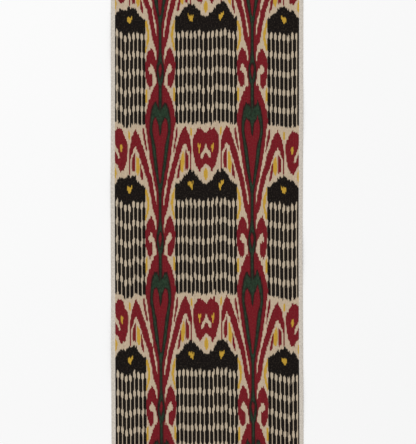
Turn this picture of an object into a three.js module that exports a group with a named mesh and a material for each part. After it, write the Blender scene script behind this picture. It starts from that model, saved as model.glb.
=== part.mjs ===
// A cut length of hand-woven warp ikat, lying flat, face up, on a level surface.
// Millimetres, +Z up. X runs across the cloth from selvedge to selvedge, Y runs along its warp,
// and the origin is on the surface under the middle of the cloth.
import * as THREE from "three";

// Size of the cut length
const LENGTH = 1000;
const THICKNESS = 1;

// How finely the sheet is divided between its two selvedges and its two cut ends
const CELLS_ACROSS = 18;
const CELLS_ALONG = 40;

// The two selvedges, as x at stations along the warp. The cloth draws in a little below its middle
// and sways to one side at its lower end.
const SELVEDGES = [
  { y: -500, left: -208.8, right: 211.0 },
  { y: -340, left: -209.6, right: 210.3 },
  { y: -190, left: -209.9, right: 209.6 },
  { y: -60, left: -210.7, right: 208.7 },
  { y: 95, left: -211.0, right: 209.6 },
  { y: 290, left: -210.3, right: 210.1 },
  { y: 500, left: -210.4, right: 210.4 },
];

// Soft places along the rim where the cloth stands a little off the surface:
// the middle of each, how far it reaches along X and Y, and how high it lifts the cloth
const RIPPLES = [
  { x: -211, y: 395, reachX: 60, reachY: 110, rise: 2.0 },
  { x: -211, y: 60, reachX: 45, reachY: 85, rise: 1.3 },
  { x: -210, y: -270, reachX: 65, reachY: 120, rise: 2.2 },
  { x: 211, y: 235, reachX: 55, reachY: 100, rise: 1.8 },
  { x: 209, y: -75, reachX: 70, reachY: 90, rise: 2.4 },
  { x: 211, y: -385, reachX: 50, reachY: 90, rise: 1.5 },
  { x: -95, y: 500, reachX: 90, reachY: 70, rise: 2.2 },
  { x: 130, y: 500, reachX: 75, reachY: 55, rise: 1.6 },
  { x: -150, y: -500, reachX: 70, reachY: 60, rise: 1.8 },
  { x: 60, y: -500, reachX: 100, reachY: 75, rise: 2.4 },
];

// An S-shaped step from 0 to 1
function ease(t) {
  return t * t * (3 - 2 * t);
}

// The x of one selvedge at y, eased between the stations so that it never overshoots them
function selvedgeAt(side, y) {
  const next = Math.max(1, SELVEDGES.findIndex((station) => station.y >= y));
  const low = SELVEDGES[next - 1];
  const high = SELVEDGES[next];
  return THREE.MathUtils.lerp(low[side], high[side], ease((y - low.y) / (high.y - low.y)));
}

// A rounded bump: 1 at its middle, and level with the surface from its rim outwards
function bump(dx, dy) {
  const away = Math.hypot(dx, dy);
  return away < 1 ? Math.cos((away * Math.PI) / 2) ** 2 : 0;
}

// How far the underside of the cloth is off the surface at (x, y)
function liftAt(x, y) {
  return RIPPLES.reduce(
    (lift, r) => Math.max(lift, r.rise * bump((x - r.x) / r.reachX, (y - r.y) / r.reachY)),
    0,
  );
}

// The woven sheet: one grid of points for its face, one for its back, joined round the rim
function makeCloth() {
  const across = CELLS_ACROSS + 1;
  const along = CELLS_ALONG + 1;
  const points = [];
  for (const height of [0, THICKNESS]) {
    for (let row = 0; row < along; row++) {
      const y = LENGTH * (row / CELLS_ALONG - 0.5);
      const left = selvedgeAt("left", y);
      const right = selvedgeAt("right", y);
      for (let column = 0; column < across; column++) {
        const x = THREE.MathUtils.lerp(left, right, column / CELLS_ACROSS);
        points.push(x, y, liftAt(x, y) + height);
      }
    }
  }

  const back = (row, column) => row * across + column;
  const face = (row, column) => along * across + back(row, column);
  const triangles = [];
  const quad = (a, b, c, d) => triangles.push(a, b, c, a, c, d);
  for (let row = 0; row < CELLS_ALONG; row++) {
    for (let column = 0; column < CELLS_ACROSS; column++) {
      quad(face(row, column), face(row, column + 1), face(row + 1, column + 1), face(row + 1, column));
      quad(back(row, column), back(row + 1, column), back(row + 1, column + 1), back(row, column + 1));
    }
  }
  for (let row = 0; row < CELLS_ALONG; row++) {
    quad(back(row + 1, 0), back(row, 0), face(row, 0), face(row + 1, 0));
    quad(
      back(row, CELLS_ACROSS),
      back(row + 1, CELLS_ACROSS),
      face(row + 1, CELLS_ACROSS),
      face(row, CELLS_ACROSS),
    );
  }
  for (let column = 0; column < CELLS_ACROSS; column++) {
    quad(back(0, column), back(0, column + 1), face(0, column + 1), face(0, column));
    quad(
      back(CELLS_ALONG, column + 1),
      back(CELLS_ALONG, column),
      face(CELLS_ALONG, column),
      face(CELLS_ALONG, column + 1),
    );
  }

  const geometry = new THREE.BufferGeometry();
  geometry.setAttribute("position", new THREE.Float32BufferAttribute(points, 3));
  geometry.setIndex(triangles);
  geometry.computeVertexNormals();
  return geometry;
}

// Undyed ecru warp, the ground that shows between the dyed figures
const ecruWeave = new THREE.MeshStandardMaterial({ color: 0xb49f83, roughness: 0.72, metalness: 0 });

const cloth = new THREE.Mesh(makeCloth(), ecruWeave);
cloth.name = "cloth";

const ikatLength = new THREE.Group();
ikatLength.add(cloth);

export default ikatLength;
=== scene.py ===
"""Looks for a cut length of hand-woven warp ikat, lying flat and face up on a pale floor.

The cloth lies in X and Y, with its warp along Y. Its figures aren't printed: they are charted here
as outlines, and each bundle of warp yarns slips a little along its length, as it does on the loom.
The cloth's lengths are in millimetres, which MM turns into Blender's metres.
"""
import math

import bpy
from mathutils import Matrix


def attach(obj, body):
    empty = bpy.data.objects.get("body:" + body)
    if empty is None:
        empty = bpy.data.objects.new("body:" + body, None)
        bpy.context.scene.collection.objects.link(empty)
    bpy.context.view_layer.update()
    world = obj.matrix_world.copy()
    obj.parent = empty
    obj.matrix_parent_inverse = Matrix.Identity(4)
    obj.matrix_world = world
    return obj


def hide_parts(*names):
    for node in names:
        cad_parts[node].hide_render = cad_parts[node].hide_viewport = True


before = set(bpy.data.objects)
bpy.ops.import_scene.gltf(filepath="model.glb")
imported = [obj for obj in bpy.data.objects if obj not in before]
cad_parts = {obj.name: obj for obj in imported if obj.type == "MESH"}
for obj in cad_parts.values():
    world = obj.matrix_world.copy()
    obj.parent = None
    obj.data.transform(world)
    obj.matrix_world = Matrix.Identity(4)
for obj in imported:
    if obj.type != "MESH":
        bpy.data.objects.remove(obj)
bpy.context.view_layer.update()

MM = 0.001

# The cut length, as the frame has it
LENGTH = 1000
WIDTH = 420
THICKNESS = 1

# How far the rim is rounded, all round the face and the back
RIM_ROUNDING = 0.4

# How near two points of the face and the back lie to be joined into one
JOIN_GAP = 0.01

# How many swells the cockle of the face has in a metre, about
COCKLE_SCALE = 14.0

# Where each selvedge runs, as (along, across)
LEFT_SELVEDGE = (
    (-500, -208.8), (-340, -209.6), (-190, -209.9), (-60, -210.7), (95, -211.0), (290, -210.3),
    (500, -210.4),
)
RIGHT_SELVEDGE = (
    (-500, 211.0), (-340, 210.3), (-190, 209.6), (-60, 208.7), (95, 209.6), (290, 210.1),
    (500, 210.4),
)

# Soft places along the rim that stand off the floor: middle, reach along X and Y, and rise
RIPPLES = (
    ((-211, 395), (60, 110), 2.0),
    ((-211, 60), (45, 85), 1.3),
    ((-210, -270), (65, 120), 2.2),
    ((211, 235), (55, 100), 1.8),
    ((209, -75), (70, 90), 2.4),
    ((211, -385), (50, 90), 1.5),
    ((-95, 500), (90, 70), 2.2),
    ((130, 500), (75, 55), 1.6),
    ((-150, -500), (70, 60), 1.8),
    ((60, -500), (100, 75), 2.4),
)

# The undyed selvedge: how far out it starts, how wide it is, and how far apart its cords are
SELVEDGE_START = 201.0
SELVEDGE_WIDTH = 9.0
CORD_PITCH = 3.0

# The selvedge's shade where it starts, how much darker its rim is, and the painted shade over a cord,
# lighter on its rounded middle and darker between cords
START_SHADE = 1.04
RIM_DARKER = 0.08
CORD_PAINTED_SHADE = 0.03

# The repeat: its height along the warp, and where its first line lies below the middle of the cloth
REPEAT = 372
REPEAT_START = 159.7

# How far a figure that meets the top or the foot of the repeat is drawn past it
PAST_SEAM = 20.0

# The lines along the warp about which the figures are mirrored, and the width of a charted field
LEFT_COLUMN = -101.6
MIDDLE = -2.0
RIGHT_COLUMN = 99.3
HALF_PITCH = 100.2

# Where the figures end beside the two plain selvedges
LEFT_FIELD_EDGE = -201.5
RIGHT_FIELD_EDGE = 202.0

# How wide each of the four fields is, from a column to a selvedge or to the middle
FIELD_WIDTHS = (
    LEFT_COLUMN - LEFT_FIELD_EDGE,
    MIDDLE - LEFT_COLUMN,
    RIGHT_COLUMN - MIDDLE,
    RIGHT_FIELD_EDGE - RIGHT_COLUMN,
)

# How much the warp leans to the right down the cloth
WARP_LEAN = 0.0019

# How far each part of the width slipped down the cloth on the loom, as (across, slip at the upper end
# of the cloth, slip at the lower end)
WARP_SLIP = (
    (-200, -6, 5),
    (-190, -1, 8),
    (-178, 7, 12),
    (-166, 7, 12),
    (-156, 4, 5),
    (-140, 4, 6),
    (-125, 1, 1),
    (-75, 1, 0),
    (-9, 1, 2),
    (20, -2, -1),
    (39, -7, -4),
    (47, -3, 0),
    (57, 1, 6),
    (75, -1, 0),
    (125, 0, 0),
    (138, 4, 10),
    (151, 3, 10),
    (166, 6, 18),
    (180, 7, 20),
    (197, 1, 14),
)

# How far the whole width slipped where the weft was beaten closer or looser, as (along, slip)
BEATING_SLIP = ((-500, -4), (-330, 0), (180, 0), (300, 1.5), (430, 5), (500, 7.5))

# How much lower the arches beside the selvedges stand than those beside the middle, as (down, lag)
SIDE_ARCH_LAG = ((0, 4.5), (65, 4.5), (115, 0), (372, 0))

# The width of a tied strand, and how fully a slanting edge keeps to its steps
STRAND = 2.2
STEP_SHARE = 0.8

# Where the random draws of each width of yarn start, and how many bundles a field may have
LUCK_STARTS = {"Hank": 500.0, "Strand": 1500.0, "Yarn": 3000.0}
BUNDLES_IN_FIELD = 20.0

# A yarn's random slip: how much of it is steady, how much wanders along the cloth and over what
# length, and how far apart in the noise two neighbours are
STEADY_SHARE = 1.6
WANDER_SHARE = 3.0
WANDER_LENGTH = 190.0
WANDER_STEP = 3.7

# How soft a dyed edge is across the warp and along it
BLEED_ACROSS = 0.8
BLEED_ALONG = 2.4

# How far the dark overdye reaches from the edge of the green, as (down, reach)
OVERDYE_REACH = (
    (0, 2.2), (232, 2.2), (260, 3.5), (274, 2.2), (312, 2.2), (323, 3.5), (336, 3), (352, 3),
    (364, 2.2), (372, 2.2),
)

# Outlines of the figures beside a column, as (down, out): down the repeat, and out from the column
STEM_EDGE = (
    (0, 22.5), (17, 22.5), (31, 20), (59, 16.5), (98, 11.5), (120, 7), (142, 3.5), (151, 2.5),
    (207, 2.5), (221, 3.5), (231, 5), (240, 7), (248, 7.5), (262, 7.5), (276, 5.5), (284, 3),
    (319, 3), (321, 11.5), (330, 16), (339, 18.5), (361, 22), (372, 22.5),
)
STEM_NOTCH_IN = ((312, 3), (335, 3))
STEM_NOTCH_OUT = ((312, 13), (321, 11), (326, 8), (331, 5.5), (335, 3))
STEM_EYE = ((226, -2), (236, 2.5), (246, 4.5), (255, 3.5), (264, 1), (270, -2))
HEART_EDGE = (
    (0, 17), (11, 17.5), (24, 16), (50, 10.5), (77, 7.5), (103, 4.5), (125, 2), (131, -3),
    (352, -3), (354, 11.5), (363, 15.5), (372, 17),
)
HEART_CLEFT = (
    (0, 3), (12, 2), (20, 1), (27, -3), (352, -3), (354, 11.5), (359, 8), (365, 5.5), (372, 3),
)
TULIP_EDGE = (
    (0, 32.5), (11, 30.5), (24, 29), (46, 26.5), (72, 23), (98, 18.5), (120, 15), (138, 11),
    (155, 8), (173, 7.5), (177, 18), (190, 14.5), (199, 11), (208, 9.5), (217, 8), (234, 8.5),
    (255, 12), (260, 11), (269, 9.5), (280, 8), (287, 13.5), (304, 20), (322, 26.5), (339, 31),
    (360, 33.5), (372, 32.5),
)
LEG_IN = (
    (2, 54.5), (11, 47.5), (28, 41), (55, 33), (72, 29), (98, 23), (120, 17), (138, 14.5), (177, 8),
)
LEG_OUT = (
    (2, 54.5), (7, 57.5), (20, 63.5), (37, 67), (50, 68.5), (57, 68.5), (66, 68), (68, 43),
    (77, 40), (98, 34.5), (120, 28), (138, 24), (155, 21), (178, 18),
)
ARCH_GAP_IN = ((40, 55), (46, 49.5), (63, 44.5), (68, 42))
ARCH_GAP_OUT = ((40, 55), (46, 59), (55, 60.5), (59, 64.5), (68, 66.5))
ARCH_BAR_IN = ((53, 55), (60, 54.5), (96, 54.5))
ARCH_BAR_OUT = ((53, 56.5), (60, 59.5), (66, 62), (74, 62.5), (88, 62.5), (96, 61))
ARCH_GOLD_IN = ((58, 50), (67, 46), (82, 44.5), (95, 45), (102, 47))
ARCH_GOLD_OUT = ((58, 52), (67, 52.5), (82, 53), (95, 52), (102, 50))
OUTER_SLIVER_IN = ((3, 36), (20, 33), (57, 28))
OUTER_SLIVER_OUT = ((3, 38.5), (15, 38.5), (24, 37.5), (57, 30.5))
INNER_SLIVER_IN = ((78, 43), (86, 41), (98, 38.5), (108, 37), (117, 36.5))
INNER_SLIVER_OUT = ((78, 44.5), (98, 44), (107, 43), (112, 41.5), (117, 38))
SIDE_GOLD_IN = (
    (137, 30.5), (148, 27), (157, 24.5), (173, 23), (186, 25), (195, 27.5), (206, 30.5),
)
SIDE_GOLD_OUT = (
    (137, 32.5), (148, 32), (157, 30.5), (173, 28), (186, 30), (195, 32), (206, 32.5),
)
SCROLL_IN = (
    (200, 20.5), (204, 17), (208, 14.5), (217, 12), (225, 10.5), (234, 8), (252, 8), (257, 16.5),
    (284, 16.5), (291, 22),
)
SCROLL_OUT = (
    (200, 22), (204, 24.5), (208, 27), (217, 30), (225, 31.5), (234, 33), (260, 32.5), (273, 30),
    (282, 27.5), (291, 24),
)
HOOK_IN = ((236, 20.5), (241, 17), (248, 14), (253, 12), (260, 11), (269, 9.5), (283, 8))
HOOK_OUT = (
    (236, 20.5), (239, 22.5), (243, 25), (249, 26), (254, 24), (257, 21), (260, 16.5), (283, 16.5),
)

# Straight bands beside a column, as (inner side, outer side, start, end)
THIN_LINE = (65.5, 68.3, 60, 98)
SHORT_GOLD = (28.2, 32.4, 289, 319)
SPECK_GOLD = (66.0, 70.0, 6.5, 23)

# Outlines of the figures between two columns, as (down, out): out from the middle of the block
ROSETTE_IN = (
    (5, 14), (7, 8.5), (9.5, 5.5), (14, 3), (18, -2), (20, -4), (79, -4), (82, 0), (86, 3.5),
    (91, 7.5), (97, 10.5), (101, 12.5),
)
ROSETTE_OUT = (
    (5, 14), (8, 18), (10, 19.5), (15, 22), (24, 27), (33, 29), (50, 29), (66, 27.5), (81, 23.5),
    (91, 20.5), (97, 17), (101, 13),
)
DROP_IN = ((41, 12), (47, 11.5), (50.5, 13), (56, 13.5), (58.5, 14.5))
DROP_OUT = ((41, 17.5), (46, 18), (50.5, 16.5), (56, 16), (58.5, 15))
CHEVRON_IN = ((40, -4), (55, -4), (58, 0), (61, 3), (67, 5.5), (72, 7.5), (74, 9.5))
CHEVRON_OUT = ((40, 1), (44, 1.5), (50, 3.5), (57, 7.5), (64, 10.5), (71, 11.5), (74, 9.5))
DIAMOND_EDGE = ((92, 1), (97, 3), (102, 4.5), (107, 5), (111, 4.5), (115, 3), (119, 1))
HEARTLET_IN = ((125, 27.5), (133, 28), (135, 29), (137, 29.5), (139, 31))
HEARTLET_OUT = ((125, 39), (132, 39), (134, 35.5), (137, 34), (139, 33))

# Top of the whole black block and of the half blocks at the selvedges, as (out, down)
BLOCK_TOP = (
    (0, 127.5), (5, 126), (9, 121.5), (12, 120), (16, 116), (18, 111.5), (21, 108), (24, 104),
    (27, 101.5), (31, 99), (34.5, 95.5), (38, 101), (43, 105.5), (48, 108), (51, 115), (57, 122),
    (62, 127), (68, 129.5),
)
SIDE_BLOCK_TOP = (
    (0, 131.5), (4.5, 126), (9, 117), (12, 111), (14.5, 112.5), (18, 111.5), (21, 107.5),
    (25, 103.5), (29, 101.5), (33, 99), (36, 105), (41, 106.5), (46.5, 109), (50.5, 117),
    (56, 121.5), (62, 127.5), (66, 132), (68, 132),
)
BLOCK_SIDE = 68
BLOCK_FOOT = 162

# How far out the curves of the two tops go, and how far the block is drawn past its foot, where the
# comb's own slip ends it
TOP_REACH = 80
BLOCK_OVERRUN = 60

# The comb of dashes, strung with rows of beads. It starts a little above the foot of the block
COMB_FOOT = 368
COMB_OVERLAP = 8
COMB_PITCH = 9.05
COMB_MIDDLE = 1.0
DASH_HALF = 3.7
THREAD_HALF = 1.7
BEAD_FIRST = 170.6
BEAD_PITCH = 40.5
BEAD_HALF = 8.4
BEAD_TAPER = 4.2

# How many times as far as in the other figures the comb's bundles slipped, and their strands
COMB_SLACK = 1.4
COMB_STRANDS = 1.3

# Where the black line beside the comb runs along the right-hand selvedge
RIM_LINE = 197.6

# The name under which the mesh keeps where each of its points lies on the cloth
PLACE = "cloth_place"


def linear(red, green, blue):
    """The shader colour of an sRGB colour given as 0 to 255."""
    def one(value):
        value /= 255
        return value / 12.92 if value <= 0.04045 else ((value + 0.055) / 1.055) ** 2.4
    return one(red), one(green), one(blue), 1.0


ECRU = linear(184, 165, 141)
PALE_ECRU = linear(184, 168, 145)
RED = linear(108, 18, 27)
GREEN = linear(33, 51, 36)
BLACK = linear(13, 7, 5)
YELLOW = linear(183, 145, 50)
OVERDYE = linear(31, 17, 15)
SELVEDGE_CREAM = linear(198, 190, 179)
FLOOR_WHITE = (0.9, 0.9, 0.9, 1.0)

# The kind of a group's input, by the kind of its value
SOCKETS = {float: "NodeSocketFloat", int: "NodeSocketInt", type(None): "NodeSocketGeometry"}


class Tree:
    """Adds nodes to one node tree and links what feeds them."""

    def __init__(self, tree):
        self.tree = tree

    def add(self, kind, inputs=None, **settings):
        node = self.tree.nodes.new(kind)
        for name, value in settings.items():
            setattr(node, name, value)
        for name, value in (inputs or {}).items():
            self.feed(node.inputs[name], value)
        return node

    def feed(self, socket, value):
        if isinstance(value, bpy.types.NodeSocket):
            self.tree.links.new(value, socket)
        else:
            socket.default_value = value

    def math(self, operation, *values, clamp=False):
        node = self.add("ShaderNodeMath", operation=operation, use_clamp=clamp)
        for socket, value in zip(node.inputs, values):
            self.feed(socket, value)
        return node.outputs[0]

    def most(self, values):
        result = values[0]
        for value in values[1:]:
            result = self.math("MAXIMUM", result, value)
        return result

    def vector(self, x, y, z=0.0):
        return self.add("ShaderNodeCombineXYZ", {"X": x, "Y": y, "Z": z}).outputs[0]

    def split(self, vector):
        return self.add("ShaderNodeSeparateXYZ", {"Vector": vector}).outputs

    def between(self, value, low, high, start=0.0, end=1.0, **settings):
        """A number that goes from low to high while a value goes from start to end."""
        inputs = {"Value": value, "From Min": start, "From Max": end, "To Min": low, "To Max": high}
        return self.add("ShaderNodeMapRange", inputs, **settings).outputs[0]

    def noise(self, place, detail):
        """Smooth noise from 0 to 1 over a plane, with swells about 1 wide."""
        inputs = {"Vector": place, "Scale": 1.0, "Detail": detail}
        return self.add("ShaderNodeTexNoise", inputs, noise_dimensions="2D").outputs[0]

    def curve(self, along, stations, low, high, label):
        """The height of a curve through the stations, whose own steps run from low to high."""
        share = self.math("DIVIDE", self.math("SUBTRACT", along, low), high - low)
        node = self.add("ShaderNodeFloatCurve", {"Value": share}, label=label)
        node.mapping.use_clip = False
        points = node.mapping.curves[0].points
        places = [((step - low) / (high - low), value / REPEAT) for step, value in stations]
        points[0].location = places[0]
        points[1].location = places[-1]
        for place in places[1:-1]:
            points.new(*place)
        for point in points:
            point.handle_type = "VECTOR"
        node.mapping.update()
        return self.math("MULTIPLY", node.outputs[0], REPEAT)


def new_group(name, kind, inputs, outputs):
    """A new node group: its tree, what its input node gives, and what its output node takes."""
    tree = bpy.data.node_groups.new(name, kind)
    for socket_name, value in inputs.items():
        socket = tree.interface.new_socket(
            name=socket_name, in_out="INPUT", socket_type=SOCKETS[type(value)]
        )
        if value is not None:
            socket.default_value = value
    for socket_name in outputs:
        socket_type = "NodeSocketGeometry" if socket_name == "Geometry" else "NodeSocketFloat"
        tree.interface.new_socket(name=socket_name, in_out="OUTPUT", socket_type=socket_type)
    nodes = Tree(tree)
    return nodes, nodes.add("NodeGroupInput").outputs, nodes.add("NodeGroupOutput").inputs


def use_group(nodes, group, kind="ShaderNodeGroup", **inputs):
    """The outputs of a group in another tree, with its own values for the inputs that are named."""
    node = nodes.add(kind)
    node.node_tree = group
    for name, value in inputs.items():
        nodes.feed(node.inputs[name.replace("_", " ")], value)
    return node.outputs


def make_ripple_group():
    """One soft place: how far it lifts the cloth at X and Y, all in metres."""
    names = ("X", "Y", "Middle X", "Middle Y", "Reach X", "Reach Y", "Rise")
    nodes, given, result = new_group(
        "soft_ripple", "GeometryNodeTree", dict.fromkeys(names, 0.0), ["Lift"]
    )
    steps = []
    for axis in "XY":
        offset = nodes.math("SUBTRACT", given[axis], given["Middle " + axis])
        step = nodes.math("DIVIDE", offset, given["Reach " + axis])
        steps.append(nodes.math("MULTIPLY", step, step))
    away = nodes.math("MINIMUM", nodes.math("SQRT", nodes.math("ADD", *steps)), 1.0)
    swell = nodes.math("COSINE", nodes.math("MULTIPLY", away, math.pi / 2))
    lift = nodes.math("MULTIPLY", given["Rise"], nodes.math("MULTIPLY", swell, swell))
    nodes.feed(result["Lift"], lift)
    return nodes.tree


def lay_grid(nodes, given):
    """A flat grid marked with its place on the cloth, and where it lies between the selvedges."""
    grid = nodes.add(
        "GeometryNodeMeshGrid",
        {
            "Size X": 1.0,
            "Size Y": given["Length"],
            "Vertices X": nodes.math("ADD", given["Columns"], 1),
            "Vertices Y": nodes.math("ADD", given["Rows"], 1),
        },
    )
    point = nodes.split(nodes.add("GeometryNodeInputPosition").outputs[0])
    y_mm = nodes.math("DIVIDE", point["Y"], MM)
    left, right = (
        nodes.math("MULTIPLY", nodes.curve(y_mm, stations, -LENGTH / 2, LENGTH / 2, label), MM)
        for stations, label in ((LEFT_SELVEDGE, "left selvedge"), (RIGHT_SELVEDGE, "right selvedge"))
    )
    share = nodes.math("ADD", point["X"], 0.5)
    x = nodes.math("ADD", left, nodes.math("MULTIPLY", share, nodes.math("SUBTRACT", right, left)))
    on_cloth = nodes.vector(nodes.math("MULTIPLY", point["X"], WIDTH), y_mm)
    marked = nodes.add(
        "GeometryNodeStoreNamedAttribute",
        {"Geometry": grid.outputs["Mesh"], "Name": PLACE, "Value": on_cloth},
        data_type="FLOAT_VECTOR",
        domain="POINT",
    ).outputs[0]
    return marked, x, point["Y"]


def lift_grid(nodes, grid, x, y):
    """The grid between the selvedges, lifted at the soft places, and where its points are now."""
    ripple = make_ripple_group()
    lifts = []
    for (middle_x, middle_y), (reach_x, reach_y), rise in RIPPLES:
        spot = use_group(
            nodes,
            ripple,
            "GeometryNodeGroup",
            X=x,
            Y=y,
            Middle_X=middle_x * MM,
            Middle_Y=middle_y * MM,
            Reach_X=reach_x * MM,
            Reach_Y=reach_y * MM,
            Rise=rise * MM,
        )
        lifts.append(spot["Lift"])
    lifted = nodes.vector(x, y, nodes.most(lifts))
    sheet = nodes.add("GeometryNodeSetPosition", {"Geometry": grid, "Position": lifted}).outputs[0]
    return sheet, lifted


def thicken_sheet(nodes, given, sheet, lifted):
    """The sheet as a closed solid: its back, a face that cockles a little, and the rim between."""
    cockle = nodes.add(
        "ShaderNodeTexNoise",
        {"Vector": lifted, "W": given["Seed"], "Scale": COCKLE_SCALE, "Detail": 2.0},
        noise_dimensions="4D",
    ).outputs[0]
    swell = nodes.math("MULTIPLY", given["Cockle"], nodes.math("SUBTRACT", cockle, 0.5))
    up = nodes.vector(0.0, 0.0, nodes.math("ADD", given["Thickness"], swell))
    face = nodes.add(
        "GeometryNodeExtrudeMesh",
        {"Mesh": sheet, "Offset": up, "Offset Scale": 1.0, "Individual": False},
    ).outputs["Mesh"]
    back = nodes.add("GeometryNodeFlipFaces", {"Mesh": sheet}).outputs[0]
    both = nodes.add("GeometryNodeJoinGeometry")
    for part in (face, back):
        nodes.feed(both.inputs[0], part)
    return nodes.add(
        "GeometryNodeMergeByDistance", {"Geometry": both.outputs[0], "Distance": JOIN_GAP * MM}
    ).outputs[0]


def make_sheet_group(field, selvedge):
    """The woven sheet between its selvedges, with a material for the field and one for its edges."""
    inputs = {
        "Geometry": None,
        "Length": LENGTH * MM,
        "Thickness": THICKNESS * MM,
        "Columns": 94,
        "Rows": 224,
        "Selvedge Columns": 2,
        "Cockle": 0.25 * MM,
        "Seed": 7,
    }
    nodes, given, result = new_group("woven_sheet", "GeometryNodeTree", inputs, ["Geometry"])
    grid, x, y = lay_grid(nodes, given)
    sheet, lifted = lift_grid(nodes, grid, x, y)
    solid = thicken_sheet(nodes, given, sheet, lifted)

    kept = nodes.add("GeometryNodeInputNamedAttribute", {"Name": PLACE}, data_type="FLOAT_VECTOR")
    across = nodes.split(kept.outputs[0])["X"]
    strip = nodes.math("DIVIDE", given["Selvedge Columns"], given["Columns"])
    reach = nodes.math("MULTIPLY", nodes.math("SUBTRACT", 0.5, strip), WIDTH)
    outside = nodes.math("GREATER_THAN", nodes.math("ABSOLUTE", across), reach)

    realized = nodes.add("GeometryNodeRealizeInstances", {"Geometry": solid}).outputs[0]
    dyed = nodes.add("GeometryNodeSetMaterial", {"Geometry": realized, "Material": field}).outputs[0]
    edged = nodes.add(
        "GeometryNodeSetMaterial", {"Geometry": dyed, "Selection": outside, "Material": selvedge}
    ).outputs[0]
    nodes.feed(result["Geometry"], edged)
    return nodes.tree


def make_yarn_group():
    """How far the warp bundle and the yarn at a point slipped down the cloth, and the yarn's tone."""
    nodes, given, result = new_group(
        "warp_bundles",
        "ShaderNodeTree",
        {
            "Across": 0.0,
            "Along": 0.0,
            "Bundle": 0.0,
            "Bundle Slip": 0.7,
            "Hank": 2 * STRAND,
            "Hank Slip": 1.5,
            "Strand": STRAND,
            "Strand Slip": 2.3,
            "Yarn": 0.55,
            "Yarn Slip": 0.7,
        },
        ["Bundle Slip", "Yarn Slip", "Tone"],
    )

    def luck(index):
        """A value from about -1 to 1 for each bundle or yarn, which wanders a little along it."""
        white = nodes.add("ShaderNodeTexWhiteNoise", {"W": index}, noise_dimensions="1D").outputs[0]
        neighbour = nodes.math("MULTIPLY", index, WANDER_STEP)
        place = nodes.vector(neighbour, nodes.math("DIVIDE", given["Along"], WANDER_LENGTH))
        wander = nodes.math("SUBTRACT", nodes.noise(place, 0.0), 0.5)
        wander = nodes.math("MULTIPLY", wander, WANDER_SHARE)
        steady = nodes.math("MULTIPLY", nodes.math("SUBTRACT", white, 0.5), STEADY_SHARE)
        return nodes.math("ADD", steady, wander)

    bundle = nodes.math("MULTIPLY", given["Bundle Slip"], luck(given["Bundle"]))
    finer = bundle
    lucks = {}
    for part, start in LUCK_STARTS.items():
        index = nodes.math("FLOOR", nodes.math("DIVIDE", given["Across"], given[part]))
        lucks[part] = luck(nodes.math("ADD", index, start))
        finer = nodes.math("ADD", finer, nodes.math("MULTIPLY", given[part + " Slip"], lucks[part]))
    nodes.feed(result["Bundle Slip"], bundle)
    nodes.feed(result["Yarn Slip"], finer)
    nodes.feed(result["Tone"], nodes.math("ADD", lucks["Strand"], lucks["Yarn"]))
    return nodes.tree


def make_band_group():
    """How deep a point lies in a dyed band, from its inner side to its outer one and its two ends."""
    nodes, given, result = new_group(
        "dyed_band",
        "ShaderNodeTree",
        {
            "Out": 0.0,
            "Inner": -PAST_SEAM,
            "Outer": 0.0,
            "Down": 0.0,
            "Start": -PAST_SEAM,
            "End": REPEAT + PAST_SEAM,
        },
        ["Depth"],
    )

    def inside(place, low, high):
        past_low = nodes.math("SUBTRACT", place, low)
        before_high = nodes.math("SUBTRACT", high, place)
        return nodes.math("MINIMUM", past_low, before_high)

    across = inside(given["Out"], given["Inner"], given["Outer"])
    along = inside(given["Down"], given["Start"], given["End"])
    along = nodes.math("MULTIPLY", along, BLEED_ACROSS / BLEED_ALONG)
    nodes.feed(result["Depth"], nodes.math("MINIMUM", across, along))
    return nodes.tree


def make_comb_group():
    """The black dashes: each narrows to a thread where a bead is left undyed."""
    nodes, given, result = new_group(
        "bead_comb",
        "ShaderNodeTree",
        {
            "Out": 0.0,
            "Down": 0.0,
            "Pitch": COMB_PITCH,
            "Dash": DASH_HALF,
            "Thread": THREAD_HALF,
        },
        ["Depth"],
    )
    step = nodes.math("MAXIMUM", nodes.math("SUBTRACT", given["Out"], COMB_MIDDLE), 0.0)
    off_dash = nodes.math("PINGPONG", step, nodes.math("DIVIDE", given["Pitch"], 2.0))
    row = nodes.math("SUBTRACT", given["Down"], BEAD_FIRST)
    off_row = nodes.math("PINGPONG", row, BEAD_PITCH / 2)
    bead = nodes.math("DIVIDE", nodes.math("SUBTRACT", BEAD_HALF, off_row), BEAD_TAPER, clamp=True)
    width = nodes.between(bead, given["Dash"], given["Thread"], interpolation_type="SMOOTHSTEP")
    nodes.feed(result["Depth"], nodes.math("SUBTRACT", width, off_dash))
    return nodes.tree


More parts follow.
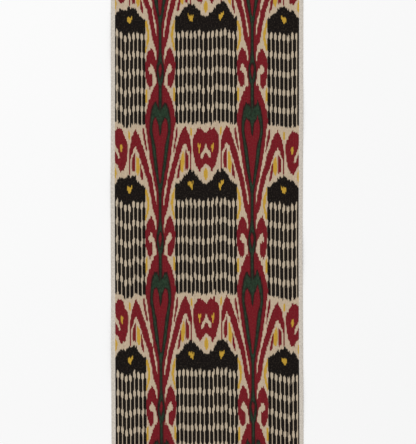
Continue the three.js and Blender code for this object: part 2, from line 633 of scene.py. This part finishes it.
class Chart:
    """Where a point of the cloth lies on the chart, and how deep it lies in the bands drawn there."""

    def __init__(self, nodes, across, along):
        self.nodes = nodes
        self.across = nodes.math("MULTIPLY_ADD", along, WARP_LEAN, across)
        self.band_group = make_band_group()
        bundle = self.fold_width()
        self.slip_warp(along, bundle)

        # The arches stand lower beside the selvedges
        at_side = nodes.math("SUBTRACT", 1.0, self.whole)
        lag = nodes.math("MULTIPLY", at_side, self.edge(SIDE_ARCH_LAG, "side arch lag"))
        self.arch_down = nodes.math("SUBTRACT", self.down, lag)

    def fold_width(self):
        """Folds the width about the columns and the middle, and gives the bundle at the point."""
        nodes = self.nodes
        past_left, past_middle, past_right = (
            nodes.math("GREATER_THAN", self.across, line)
            for line in (LEFT_COLUMN, MIDDLE, RIGHT_COLUMN)
        )
        column = nodes.between(past_middle, LEFT_COLUMN, RIGHT_COLUMN)
        off_column = nodes.math("SUBTRACT", self.across, column)
        width = FIELD_WIDTHS[0]
        for past, before, after in zip(
            (past_left, past_middle, past_right), FIELD_WIDTHS, FIELD_WIDTHS[1:]
        ):
            width = nodes.math("ADD", nodes.math("MULTIPLY", past, after - before), width)
        share = nodes.math("DIVIDE", nodes.math("ABSOLUTE", off_column), width)
        self.out = nodes.math("MULTIPLY", share, HALF_PITCH)
        self.block_out = nodes.math("ABSOLUTE", nodes.math("SUBTRACT", HALF_PITCH, self.out))

        # The yarns of a strand were tied as one, so a slanting edge climbs from strand to strand
        in_strand = nodes.math("FRACT", nodes.math("DIVIDE", self.across, STRAND))
        in_strand = nodes.math("SUBTRACT", in_strand, 0.5)
        off_middle = nodes.math("MULTIPLY", in_strand, STRAND * STEP_SHARE)
        off_middle = nodes.math("MULTIPLY", off_middle, nodes.math("SIGN", off_column))
        self.strand_out = nodes.math("SUBTRACT", self.out, off_middle)
        off_block = nodes.math("SUBTRACT", HALF_PITCH, self.strand_out)
        self.strand_block_out = nodes.math("ABSOLUTE", off_block)

        # 1 in the two fields beside the middle, and 0 beside the selvedges
        self.whole = nodes.math("SUBTRACT", past_left, past_right)

        # The bundles are numbered on across the four fields
        field = nodes.math("ADD", past_left, nodes.math("ADD", past_middle, past_right))
        dash = nodes.math("DIVIDE", nodes.math("SUBTRACT", self.block_out, COMB_MIDDLE), COMB_PITCH)
        before = nodes.math("MULTIPLY", field, BUNDLES_IN_FIELD)
        return nodes.math("ADD", nodes.math("FLOOR", dash), before)

    def slip_warp(self, along, bundle):
        """How far down the repeat a point is, in the comb and elsewhere, once its yarn has slipped."""
        nodes = self.nodes
        yarns = use_group(nodes, make_yarn_group(), Across=self.across, Along=along, Bundle=bundle)
        upper_stations = [(place, slip) for place, slip, _ in WARP_SLIP]
        lower_stations = [(place, slip) for place, _, slip in WARP_SLIP]
        upper = nodes.curve(self.across, upper_stations, -WIDTH / 2, WIDTH / 2, "upper slip")
        lower = nodes.curve(self.across, lower_stations, -WIDTH / 2, WIDTH / 2, "lower slip")
        side_slip = nodes.between(along, upper, lower, start=LENGTH / 2, end=-LENGTH / 2)
        beating = nodes.curve(along, BEATING_SLIP, -LENGTH / 2, LENGTH / 2, "beating slip")
        top = nodes.math("SUBTRACT", -REPEAT_START, along)
        top = nodes.math("SUBTRACT", top, nodes.math("ADD", side_slip, beating))

        def down_after(slip):
            return nodes.math("WRAP", nodes.math("SUBTRACT", top, slip), REPEAT, 0.0)

        self.down = down_after(yarns["Yarn Slip"])
        strands = nodes.math("SUBTRACT", yarns["Yarn Slip"], yarns["Bundle Slip"])
        strands = nodes.math("MULTIPLY", strands, COMB_STRANDS)
        bundles = nodes.math("MULTIPLY", yarns["Bundle Slip"], COMB_SLACK)
        self.comb_down = down_after(nodes.math("ADD", bundles, strands))
        self.tone = yarns["Tone"]

    def edge(self, stations, label, down=None):
        return self.nodes.curve(down or self.down, stations, 0, REPEAT, label)

    def box(self, **sides):
        """A band whose sides and ends are given one by one."""
        return use_group(self.nodes, self.band_group, **sides)["Depth"]

    def straight_band(self, sides):
        inner, outer, start, end = sides
        return self.box(
            Out=self.out, Inner=inner, Outer=outer, Down=self.down, Start=start, End=end
        )

    def band(self, place, inner, outer, label, down=None):
        """A band between two outlines, as long as the outer one.

        With no inner outline it reaches in past the mirror line, and where the outer one meets the
        top or the foot of the repeat it is drawn past the seam.
        """
        down = down or self.down
        start = outer[0][0]
        end = outer[-1][0]
        sides = {
            "Out": place,
            "Outer": self.edge(outer, label + " outer", down),
            "Down": down,
            "Start": start if start > 0 else -PAST_SEAM,
            "End": end if end < REPEAT else REPEAT + PAST_SEAM,
        }
        if inner:
            sides["Inner"] = self.edge(inner, label + " inner", down)
        return self.box(**sides)

    def keep_out(self, depth, gap):
        """What is left of a figure round a gap that its dye didn't reach."""
        return self.nodes.math("MINIMUM", depth, self.nodes.math("MULTIPLY", gap, -1.0))


def draw_red(chart):
    """The red figures beside the column and between two columns, and the undyed gaps in them."""
    out = chart.strand_out
    block_out = chart.strand_block_out
    arch_down = chart.arch_down
    arch = chart.keep_out(
        chart.band(out, LEG_IN, LEG_OUT, "arch", arch_down),
        chart.band(out, ARCH_GAP_IN, ARCH_GAP_OUT, "arch gap", arch_down),
    )
    tulip = chart.band(out, None, TULIP_EDGE, "tulip")
    scroll = chart.band(out, SCROLL_IN, SCROLL_OUT, "scroll")
    beside_column = chart.keep_out(
        chart.nodes.most([tulip, scroll]),
        chart.band(out, HOOK_IN, HOOK_OUT, "hook"),
    )
    rosette = chart.keep_out(
        chart.band(block_out, ROSETTE_IN, ROSETTE_OUT, "rosette"),
        chart.band(block_out, CHEVRON_IN, CHEVRON_OUT, "chevron"),
    )
    return chart.nodes.most([
        arch,
        beside_column,
        rosette,
        chart.band(out, OUTER_SLIVER_IN, OUTER_SLIVER_OUT, "outer sliver"),
        chart.band(out, INNER_SLIVER_IN, INNER_SLIVER_OUT, "inner sliver"),
        chart.band(out, ARCH_BAR_IN, ARCH_BAR_OUT, "arch bar", arch_down),
        chart.straight_band(THIN_LINE),
    ])


def draw_green(chart):
    """The green stem and heart outline, which lie over red, round the red that they enclose."""
    out = chart.strand_out
    heart = chart.keep_out(
        chart.band(out, None, HEART_EDGE, "heart"),
        chart.band(out, None, HEART_CLEFT, "cleft"),
    )
    enclosed = chart.nodes.most([
        chart.band(out, STEM_NOTCH_IN, STEM_NOTCH_OUT, "notch"),
        chart.band(out, None, STEM_EYE, "eye"),
        heart,
    ])
    return chart.keep_out(chart.band(out, None, STEM_EDGE, "stem"), enclosed)


def draw_comb_field(chart):
    """The stretch below a block in which the comb lies."""
    return chart.box(
        Out=chart.block_out,
        Outer=BLOCK_SIDE,
        Down=chart.comb_down,
        Start=BLOCK_FOOT - COMB_OVERLAP,
        End=COMB_FOOT,
    )


def draw_black(chart, comb_field):
    """The black block, the comb below it, and the black line along the right-hand selvedge."""
    nodes = chart.nodes
    side_top = nodes.curve(chart.strand_block_out, SIDE_BLOCK_TOP, 0, TOP_REACH, "side block top")
    whole_top = nodes.curve(chart.strand_block_out, BLOCK_TOP, 0, TOP_REACH, "block top")
    block = chart.box(
        Out=chart.block_out,
        Outer=BLOCK_SIDE,
        Down=chart.down,
        Start=nodes.between(chart.whole, side_top, whole_top),
        End=BLOCK_FOOT + BLOCK_OVERRUN,
    )
    foot = chart.box(Outer=HALF_PITCH, Down=chart.comb_down, End=BLOCK_FOOT)
    comb = use_group(nodes, make_comb_group(), Out=chart.block_out, Down=chart.comb_down)["Depth"]
    rim_line = nodes.math("SUBTRACT", chart.across, RIM_LINE)
    return nodes.math(
        "MAXIMUM",
        nodes.math("MINIMUM", block, foot),
        nodes.math("MINIMUM", nodes.math("MAXIMUM", comb, rim_line), comb_field),
    )


def draw_yellow(chart):
    out = chart.strand_out
    block_out = chart.strand_block_out
    return chart.nodes.most([
        chart.band(out, ARCH_GOLD_IN, ARCH_GOLD_OUT, "arch gold", chart.arch_down),
        chart.band(out, SIDE_GOLD_IN, SIDE_GOLD_OUT, "side gold"),
        chart.straight_band(SHORT_GOLD),
        chart.straight_band(SPECK_GOLD),
        chart.band(block_out, DROP_IN, DROP_OUT, "drop"),
        chart.band(block_out, None, DIAMOND_EDGE, "diamond"),
        chart.band(block_out, HEARTLET_IN, HEARTLET_OUT, "heartlet"),
    ])


def make_figures_group():
    """The whole chart: how much of each dye a point of the cloth has taken, and its yarn's tone."""
    nodes, given, result = new_group(
        "ikat_figures",
        "ShaderNodeTree",
        {"Across": 0.0, "Along": 0.0},
        ["Pale", "Red", "Green", "Overdye", "Black", "Yellow", "Tone"],
    )
    chart = Chart(nodes, given["Across"], given["Along"])
    comb_field = draw_comb_field(chart)
    green = draw_green(chart)
    depths = {
        "Pale": comb_field,
        "Red": draw_red(chart),
        "Green": green,
        "Black": draw_black(chart, comb_field),
        "Yellow": draw_yellow(chart),
    }
    for dye, depth in depths.items():
        taken = nodes.math("ADD", nodes.math("DIVIDE", depth, BLEED_ACROSS), 0.5, clamp=True)
        nodes.feed(result[dye], taken)
    reach = chart.edge(OVERDYE_REACH, "overdye")
    off_edge = nodes.math("DIVIDE", nodes.math("ABSOLUTE", green), reach)
    nodes.feed(result["Overdye"], nodes.math("SUBTRACT", 1.0, off_edge, clamp=True))
    nodes.feed(result["Tone"], chart.tone)
    return nodes.tree


def make_weave_group():
    """The close warp-faced weave: rounded yarns that dip under each weft, as a height for the bump and
    as a painted shade, darker in the dips and lighter on the yarn tops.
    """
    nodes, given, result = new_group(
        "warp_faced_weave",
        "ShaderNodeTree",
        {"Across": 0.0, "Along": 0.0, "Yarn": 0.56, "Weft": 0.9},
        ["Height", "Shade"],
    )
    yarn = nodes.math("PINGPONG", given["Across"], nodes.math("DIVIDE", given["Yarn"], 2.0))
    yarn = nodes.math("DIVIDE", yarn, given["Yarn"])
    turn = nodes.math("MULTIPLY", nodes.math("DIVIDE", given["Along"], given["Weft"]), 2 * math.pi)
    rib = nodes.math("MULTIPLY", nodes.math("ADD", nodes.math("SINE", turn), 1.0), 0.5)
    height = nodes.math("ADD", yarn, rib)
    nodes.feed(result["Height"], height)
    # Painted shade from the weave's relief: the colour is made darker where the yarns dip and lighter
    # on their tops
    nodes.feed(result["Shade"], nodes.math("MULTIPLY", height, 0.5))
    return nodes.tree


def make_slub_group():
    """Hand-spun yarn, thicker in some places: a shade round 1 that changes along each yarn."""
    nodes, given, result = new_group(
        "hand_spun_yarn",
        "ShaderNodeTree",
        {"Across": 0.0, "Along": 0.0, "Width": 2.2, "Length": 4.2, "Strength": 0.2},
        ["Shade"],
    )
    place = nodes.vector(
        nodes.math("DIVIDE", given["Across"], given["Width"]),
        nodes.math("DIVIDE", given["Along"], given["Length"]),
    )
    slubs = nodes.math("SUBTRACT", nodes.noise(place, 1.0), 0.5)
    shade = nodes.math("MULTIPLY", slubs, given["Strength"])
    nodes.feed(result["Shade"], nodes.math("ADD", shade, 1.0))
    return nodes.tree


def new_material(name):
    material = bpy.data.materials.new(name)
    material.use_nodes = True
    material.node_tree.nodes.clear()
    nodes = Tree(material.node_tree)
    shader = nodes.add("ShaderNodeBsdfPrincipled")
    output = nodes.add("ShaderNodeOutputMaterial")
    nodes.feed(output.inputs["Surface"], shader.outputs[0])
    return material, nodes, shader.inputs


def place_on_cloth(nodes):
    """Where a point lies on the cloth, across it and along it, as the inputs of a group."""
    place = nodes.split(nodes.add("ShaderNodeAttribute", attribute_name=PLACE).outputs["Vector"])
    return {"Across": place["X"], "Along": place["Y"]}


def blend_colour(nodes, share, under, over):
    mix = nodes.add("ShaderNodeMix", data_type="RGBA")
    nodes.feed(mix.inputs[0], share)
    nodes.feed(mix.inputs[6], under)
    nodes.feed(mix.inputs[7], over)
    return mix.outputs[2]


def shade_colour(nodes, colour, shade):
    """A colour times a shade that changes over the surface."""
    scale = nodes.add("ShaderNodeVectorMath", operation="SCALE")
    nodes.feed(scale.inputs[0], colour[:3] if isinstance(colour, tuple) else colour)
    nodes.feed(scale.inputs["Scale"], shade)
    return scale.outputs[0]


def finish_cloth(nodes, shader, colour, slubs, threads, painted_weave_shades):
    """The uneven yarn, the weave's relief with its painted shade (darker in the yarns' dips, lighter
    on their tops), and a faint sheen, on a cloth colour.
    """
    colour = shade_colour(nodes, colour, slubs)
    # Painted shade: the weave's dips darken the colour and the yarn tops lighten it
    shade = nodes.between(threads["Shade"], *painted_weave_shades)
    nodes.feed(shader["Base Color"], shade_colour(nodes, colour, shade))
    shader["Roughness"].default_value = 0.7
    shader["Sheen Weight"].default_value = 0.03
    shader["Sheen Roughness"].default_value = 0.4
    shader["Specular IOR Level"].default_value = 0.08
    relief = {"Height": threads["Height"], "Strength": 0.35, "Distance": 0.1 * MM}
    nodes.feed(shader["Normal"], nodes.add("ShaderNodeBump", relief).outputs[0])


def make_field_material(figures, weave, slub):
    """The dyed field."""
    material, nodes, shader = new_material("ikat_field")
    place = place_on_cloth(nodes)
    dyes = use_group(nodes, figures, **place)
    colour = blend_colour(nodes, dyes["Pale"], ECRU, PALE_ECRU)

    # The dye misses a little of the yarn here and there, so that some ecru shows through
    missed = use_group(nodes, slub, **place, Width=2.8, Length=3.6, Strength=0.13)["Shade"]
    evenness = nodes.math("MINIMUM", missed, 1.0)

    # The green took unevenly, in soft patches
    patches = use_group(nodes, slub, **place, Width=4.5, Length=7.0, Strength=1.5)["Shade"]
    dye_colours = {
        "Black": BLACK,
        "Red": RED,
        "Green": shade_colour(nodes, GREEN, patches),
        "Overdye": OVERDYE,
        "Yellow": YELLOW,
    }
    for dye, dyed in dye_colours.items():
        colour = blend_colour(nodes, nodes.math("MULTIPLY", dyes[dye], evenness), colour, dyed)
    tone = nodes.between(dyes["Tone"], low=0.94, high=1.06, start=-1.0)
    colour = shade_colour(nodes, colour, tone)
    slubs = use_group(nodes, slub, **place, Strength=0.42)["Shade"]
    threads = use_group(nodes, weave, **place)
    # The weave's painted shade runs from 0.92 to 1.08 of the field's colour
    finish_cloth(nodes, shader, colour, slubs, threads, painted_weave_shades=(0.92, 1.08))
    return material


def make_selvedge_material(weave, slub):
    """The undyed selvedge: a few thick cords, the outer ones a little darker, with painted shade that
    lightens each cord's middle and darkens the grooves between them.
    """
    material, nodes, shader = new_material("plain_selvedge")
    place = place_on_cloth(nodes)
    past_start = nodes.math("SUBTRACT", nodes.math("ABSOLUTE", place["Across"]), SELVEDGE_START)
    rim = nodes.math("DIVIDE", past_start, SELVEDGE_WIDTH)
    # Painted shade over each cord: lighter on its rounded middle, darker between cords
    painted_cord_shade = nodes.math("SINE", nodes.math("MULTIPLY", place["Across"], 2 * math.pi / CORD_PITCH))
    shade = nodes.math("MULTIPLY_ADD", rim, -RIM_DARKER, START_SHADE)
    shade = nodes.math("MULTIPLY_ADD", painted_cord_shade, CORD_PAINTED_SHADE, shade)
    cream = shade_colour(nodes, SELVEDGE_CREAM, shade)
    slubs = use_group(nodes, slub, **place, Width=2.8, Strength=0.6)["Shade"]
    threads = use_group(nodes, weave, **place, Yarn=0.75)
    # The weave's painted shade runs from 0.9 to 1.1 of the selvedge's colour
    finish_cloth(nodes, shader, cream, slubs, threads, painted_weave_shades=(0.9, 1.1))
    return material


def make_cloth():
    """The sheet from its node tree, as a plain mesh."""
    weave = make_weave_group()
    slub = make_slub_group()
    field = make_field_material(make_figures_group(), weave, slub)
    selvedge = make_selvedge_material(weave, slub)
    holder = bpy.data.objects.new("holder", bpy.data.meshes.new("holder"))
    bpy.context.scene.collection.objects.link(holder)
    modifier = holder.modifiers.new("woven_sheet", "NODES")
    modifier.node_group = make_sheet_group(field, selvedge)
    rim = holder.modifiers.new("rounded_rim", "BEVEL")
    rim.width = RIM_ROUNDING * MM
    rim.segments = 2
    rim.limit_method = "ANGLE"
    rim.angle_limit = math.radians(50)
    bpy.context.view_layer.update()
    shown = holder.evaluated_get(bpy.context.evaluated_depsgraph_get())
    mesh = bpy.data.meshes.new_from_object(shown)
    cloth = bpy.data.objects.new("ikat_cloth", mesh)
    bpy.context.scene.collection.objects.link(cloth)
    bpy.data.objects.remove(holder)
    return cloth


def make_floor():
    """A wide pale floor just under the cloth. Its size and its place are in metres."""
    size = 12
    top = -0.0002
    material, nodes, shader = new_material("pale_floor")
    shader["Base Color"].default_value = FLOOR_WHITE
    shader["Roughness"].default_value = 1.0
    shader["Specular IOR Level"].default_value = 0.0
    bpy.ops.mesh.primitive_plane_add(size=size, location=(0, 0, top))
    floor = bpy.context.object
    floor.name = "floor"
    floor.data.materials.append(material)


def make_camera():
    """Straight above the cloth, a little to the right of its middle, as in the photograph."""
    lens = 100.0
    sensor = 36.0
    shown_length = 971.25 * MM
    centre_x = 2.0 * MM
    data = bpy.data.cameras.new("camera")
    data.lens = lens
    data.sensor_width = sensor
    camera = bpy.data.objects.new("camera", data)
    camera.location = (centre_x, 0, shown_length * lens / sensor + THICKNESS * MM)
    bpy.context.scene.collection.objects.link(camera)
    bpy.context.scene.camera = camera


def make_lights():
    """An even white surround, and one large soft light from the upper left."""
    world = bpy.data.worlds.new("studio")
    world.use_nodes = True
    bpy.context.scene.world = world
    background = world.node_tree.nodes["Background"]
    background.inputs["Color"].default_value = (1, 1, 1, 1)
    background.inputs["Strength"].default_value = 0.9
    light = bpy.data.lights.new("softbox", "AREA")
    light.shape = "SQUARE"
    light.size = 4.0
    light.energy = 99.0
    lamp = bpy.data.objects.new("softbox", light)
    lamp.location = (-3.0, 3.4, 5.0)
    lamp.rotation_euler = (math.radians(-34), math.radians(-26.5), 0)
    bpy.context.scene.collection.objects.link(lamp)


scene = bpy.context.scene
scene.view_settings.view_transform = "Standard"
scene.view_settings.look = "None"

make_camera()
make_lights()
make_floor()

cloth = make_cloth()
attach(cloth, "root")
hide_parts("cloth")
